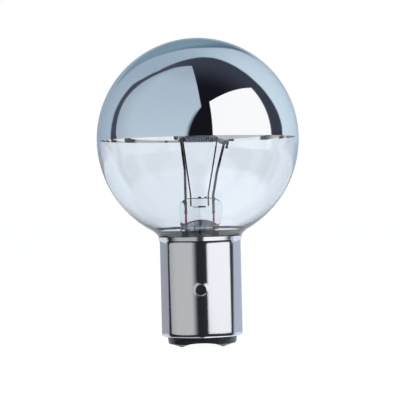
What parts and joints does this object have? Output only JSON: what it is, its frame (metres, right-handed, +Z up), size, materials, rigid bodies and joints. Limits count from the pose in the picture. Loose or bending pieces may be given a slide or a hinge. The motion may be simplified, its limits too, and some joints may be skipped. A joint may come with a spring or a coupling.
{
  "type": "globe bulb",
  "caption": "Clear globe lamp, upper half silvered inside, with wire-held coiled filament, glass stem and a nickelled two-pin bayonet cap with bottom contacts.",
  "frame": {"origin": "on the lamp's axis, at the level of the lowest points of the two bottom contacts", "axes": "+Z up along the lamp's axis to the top of the globe, X through the two contacts, Y through the two bayonet pins, with the front pin at -Y"},
  "size_m": [0.055, 0.055, 0.0841],
  "materials": {
    "clear_glass": "clear blown glass",
    "silvering": "bright silvered film",
    "stem_glass": "clear pressed glass",
    "nickel_wire": "drawn wire",
    "support_wire": "drawn wire",
    "copper_wire": "borated copper-clad wire",
    "tungsten": "coiled dark wire",
    "cement": "matt baked cement",
    "nickel_plate": "bright nickel plate with fine drawing lines",
    "black_glass": "glossy moulded black glass",
    "contact_brass": "dull brass plate",
    "solder": "smooth tin solder"
  },
  "bodies": {
    "root": {"glass_envelope": "clear_glass", "mirror_coating": "silvering", "stem": "stem_glass", "exhaust_tube": "stem_glass", "lead_wire_left": "nickel_wire", "lead_wire_right": "nickel_wire", "support_wire_left": "support_wire", "support_wire_right": "support_wire", "seal_wire_left": "copper_wire", "seal_wire_right": "copper_wire", "tail_wire_left": "copper_wire", "tail_wire_right": "copper_wire", "filament": "tungsten", "basing_cement": "cement", "cap_shell": "nickel_plate", "bayonet_pin_front": "nickel_plate", "bayonet_pin_rear": "nickel_plate", "insulator": "black_glass", "contact_left": "contact_brass", "contact_right": "contact_brass", "solder_left": "solder", "solder_right": "solder"}
  },
  "joints": []
}
